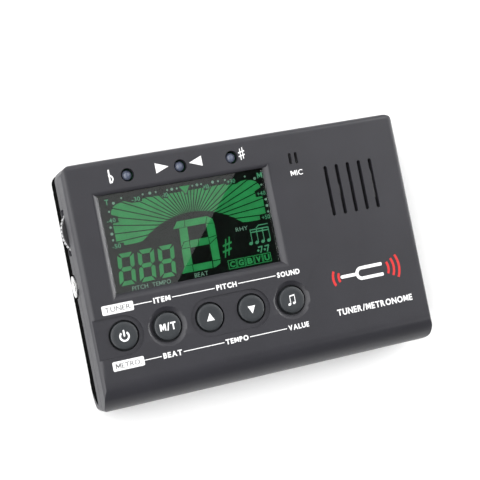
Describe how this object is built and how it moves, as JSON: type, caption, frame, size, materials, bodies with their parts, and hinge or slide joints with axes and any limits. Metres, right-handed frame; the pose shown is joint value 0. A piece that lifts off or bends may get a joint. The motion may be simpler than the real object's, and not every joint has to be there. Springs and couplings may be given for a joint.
{
  "type": "desktop tuner and metronome",
  "caption": "Flat pocket tuner and metronome with display, keys, lamps, speaker slots, volume thumbwheel, headphone and instrument sockets, tilt stand and battery door.",
  "frame": {"origin": "centre of the case's back, on the plane that the tuner lies on", "axes": "+X to the right of the face, +Y up the face from the nose to the top edge, +Z out of the face"},
  "size_m": [0.1128, 0.075, 0.0202],
  "materials": {
    "case_plastic": "charcoal satin ABS with a fine spark texture",
    "key_plastic": "dark grey satin moulded caps",
    "window_clear": "clear hard-coated acrylic",
    "lcd_glass": "negative display glass, green segments on black",
    "light_guide": "frosted clear acrylic",
    "pale_nylon": "off-white nylon",
    "board_laminate": "green solder mask over glass-fibre laminate",
    "black_nylon": "black nylon",
    "soft_rubber": "soft black rubber",
    "lamp_lens": "milky blue-grey epoxy",
    "knurled_black": "black wheel with bright ridge tops",
    "bright_nickel": "nickel plate",
    "steel": "plated steel",
    "spring_brass": "gold-flashed spring brass",
    "speaker_film": "smoked polyester film",
    "cell_jacket": "plain green printed jacket",
    "wire_jacket": "PVC insulation",
    "chip_resin": "black moulding resin",
    "capacitor_sleeve": "dark blue sleeve",
    "white_ink": "white pad-printed ink",
    "lcd_lit": "lit green segments of the display",
    "lcd_label": "pale legends printed on the display glass",
    "contact_resin": "brown phenolic"
  },
  "bodies": {
    "case": {"front_shell": "case_plastic", "rear_shell": "case_plastic", "stand_hinge_pin": "steel", "display_window": "window_clear", "lcd_panel": "lcd_glass", "lcd_backlight": "light_guide", "lcd_frame": "pale_nylon", "zebra_strips": "soft_rubber", "main_board": "board_laminate", "switch_housings": "steel", "flat_lamp": "lamp_lens", "in_tune_lamp": "lamp_lens", "sharp_lamp": "lamp_lens", "mic_boot": "soft_rubber", "mic_capsule": "bright_nickel", "speaker_gasket": "soft_rubber", "speaker_basket": "steel", "speaker_cone": "speaker_film", "speaker_magnet": "steel", "speaker_leads": "wire_jacket", "volume_pot": "contact_resin", "phones_jack_body": "black_nylon", "phones_jack_bushing": "bright_nickel", "phones_jack_contacts": "spring_brass", "input_jack_body": "black_nylon", "input_jack_bushing": "bright_nickel", "input_jack_contacts": "spring_brass", "battery_cell_upper": "cell_jacket", "battery_cell_lower": "cell_jacket", "battery_springs": "bright_nickel", "battery_plates": "bright_nickel", "battery_leads": "wire_jacket", "case_screws": "steel", "board_screws": "steel", "processor_chip": "chip_resin", "amplifier_chip": "chip_resin", "crystal": "bright_nickel", "capacitors": "capacitor_sleeve"},
    "power_key": {"key_power": "key_plastic", "switch_stem_power": "black_nylon"},
    "mode_key": {"key_mode": "key_plastic", "switch_stem_mode": "black_nylon"},
    "up_key": {"key_up": "key_plastic", "switch_stem_up": "black_nylon"},
    "down_key": {"key_down": "key_plastic", "switch_stem_down": "black_nylon"},
    "sound_key": {"key_sound": "key_plastic", "switch_stem_sound": "black_nylon"},
    "wheel": {"volume_wheel": "knurled_black", "volume_shaft": "steel", "volume_wheel_screw": "steel"},
    "door": {"battery_door": "case_plastic"},
    "stand": {"tilt_stand": "case_plastic"}
  },
  "joints": [
    {"name": "power_press", "type": "slide", "parent": "case", "child": "power_key", "axis": [0, 0, -1], "range_m": [0, 0.0003], "stiffness_N_per_m": 4000, "springref_m": -0.0001},
    {"name": "mode_press", "type": "slide", "parent": "case", "child": "mode_key", "axis": [0, 0, -1], "range_m": [0, 0.0003], "stiffness_N_per_m": 4000, "springref_m": -0.0001},
    {"name": "up_press", "type": "slide", "parent": "case", "child": "up_key", "axis": [0, 0, -1], "range_m": [0, 0.0003], "stiffness_N_per_m": 4000, "springref_m": -0.0001},
    {"name": "down_press", "type": "slide", "parent": "case", "child": "down_key", "axis": [0, 0, -1], "range_m": [0, 0.0003], "stiffness_N_per_m": 4000, "springref_m": -0.0001},
    {"name": "sound_press", "type": "slide", "parent": "case", "child": "sound_key", "axis": [0, 0, -1], "range_m": [0, 0.0003], "stiffness_N_per_m": 4000, "springref_m": -0.0001},
    {"name": "volume_turn", "type": "hinge", "parent": "case", "child": "wheel", "pos_m": [-0.048, 0.0182, 0.01], "axis": [0, 0, 1], "range_deg": [-140, 140]},
    {"name": "door_slide", "type": "slide", "parent": "case", "child": "door", "axis": [0, -1, 0], "range_m": [0, 0.03]},
    {"name": "stand_fold", "type": "hinge", "parent": "case", "child": "stand", "pos_m": [0, 0.0282, 0.0019], "axis": [1, 0, 0], "range_deg": [0, 60]}
  ]
}
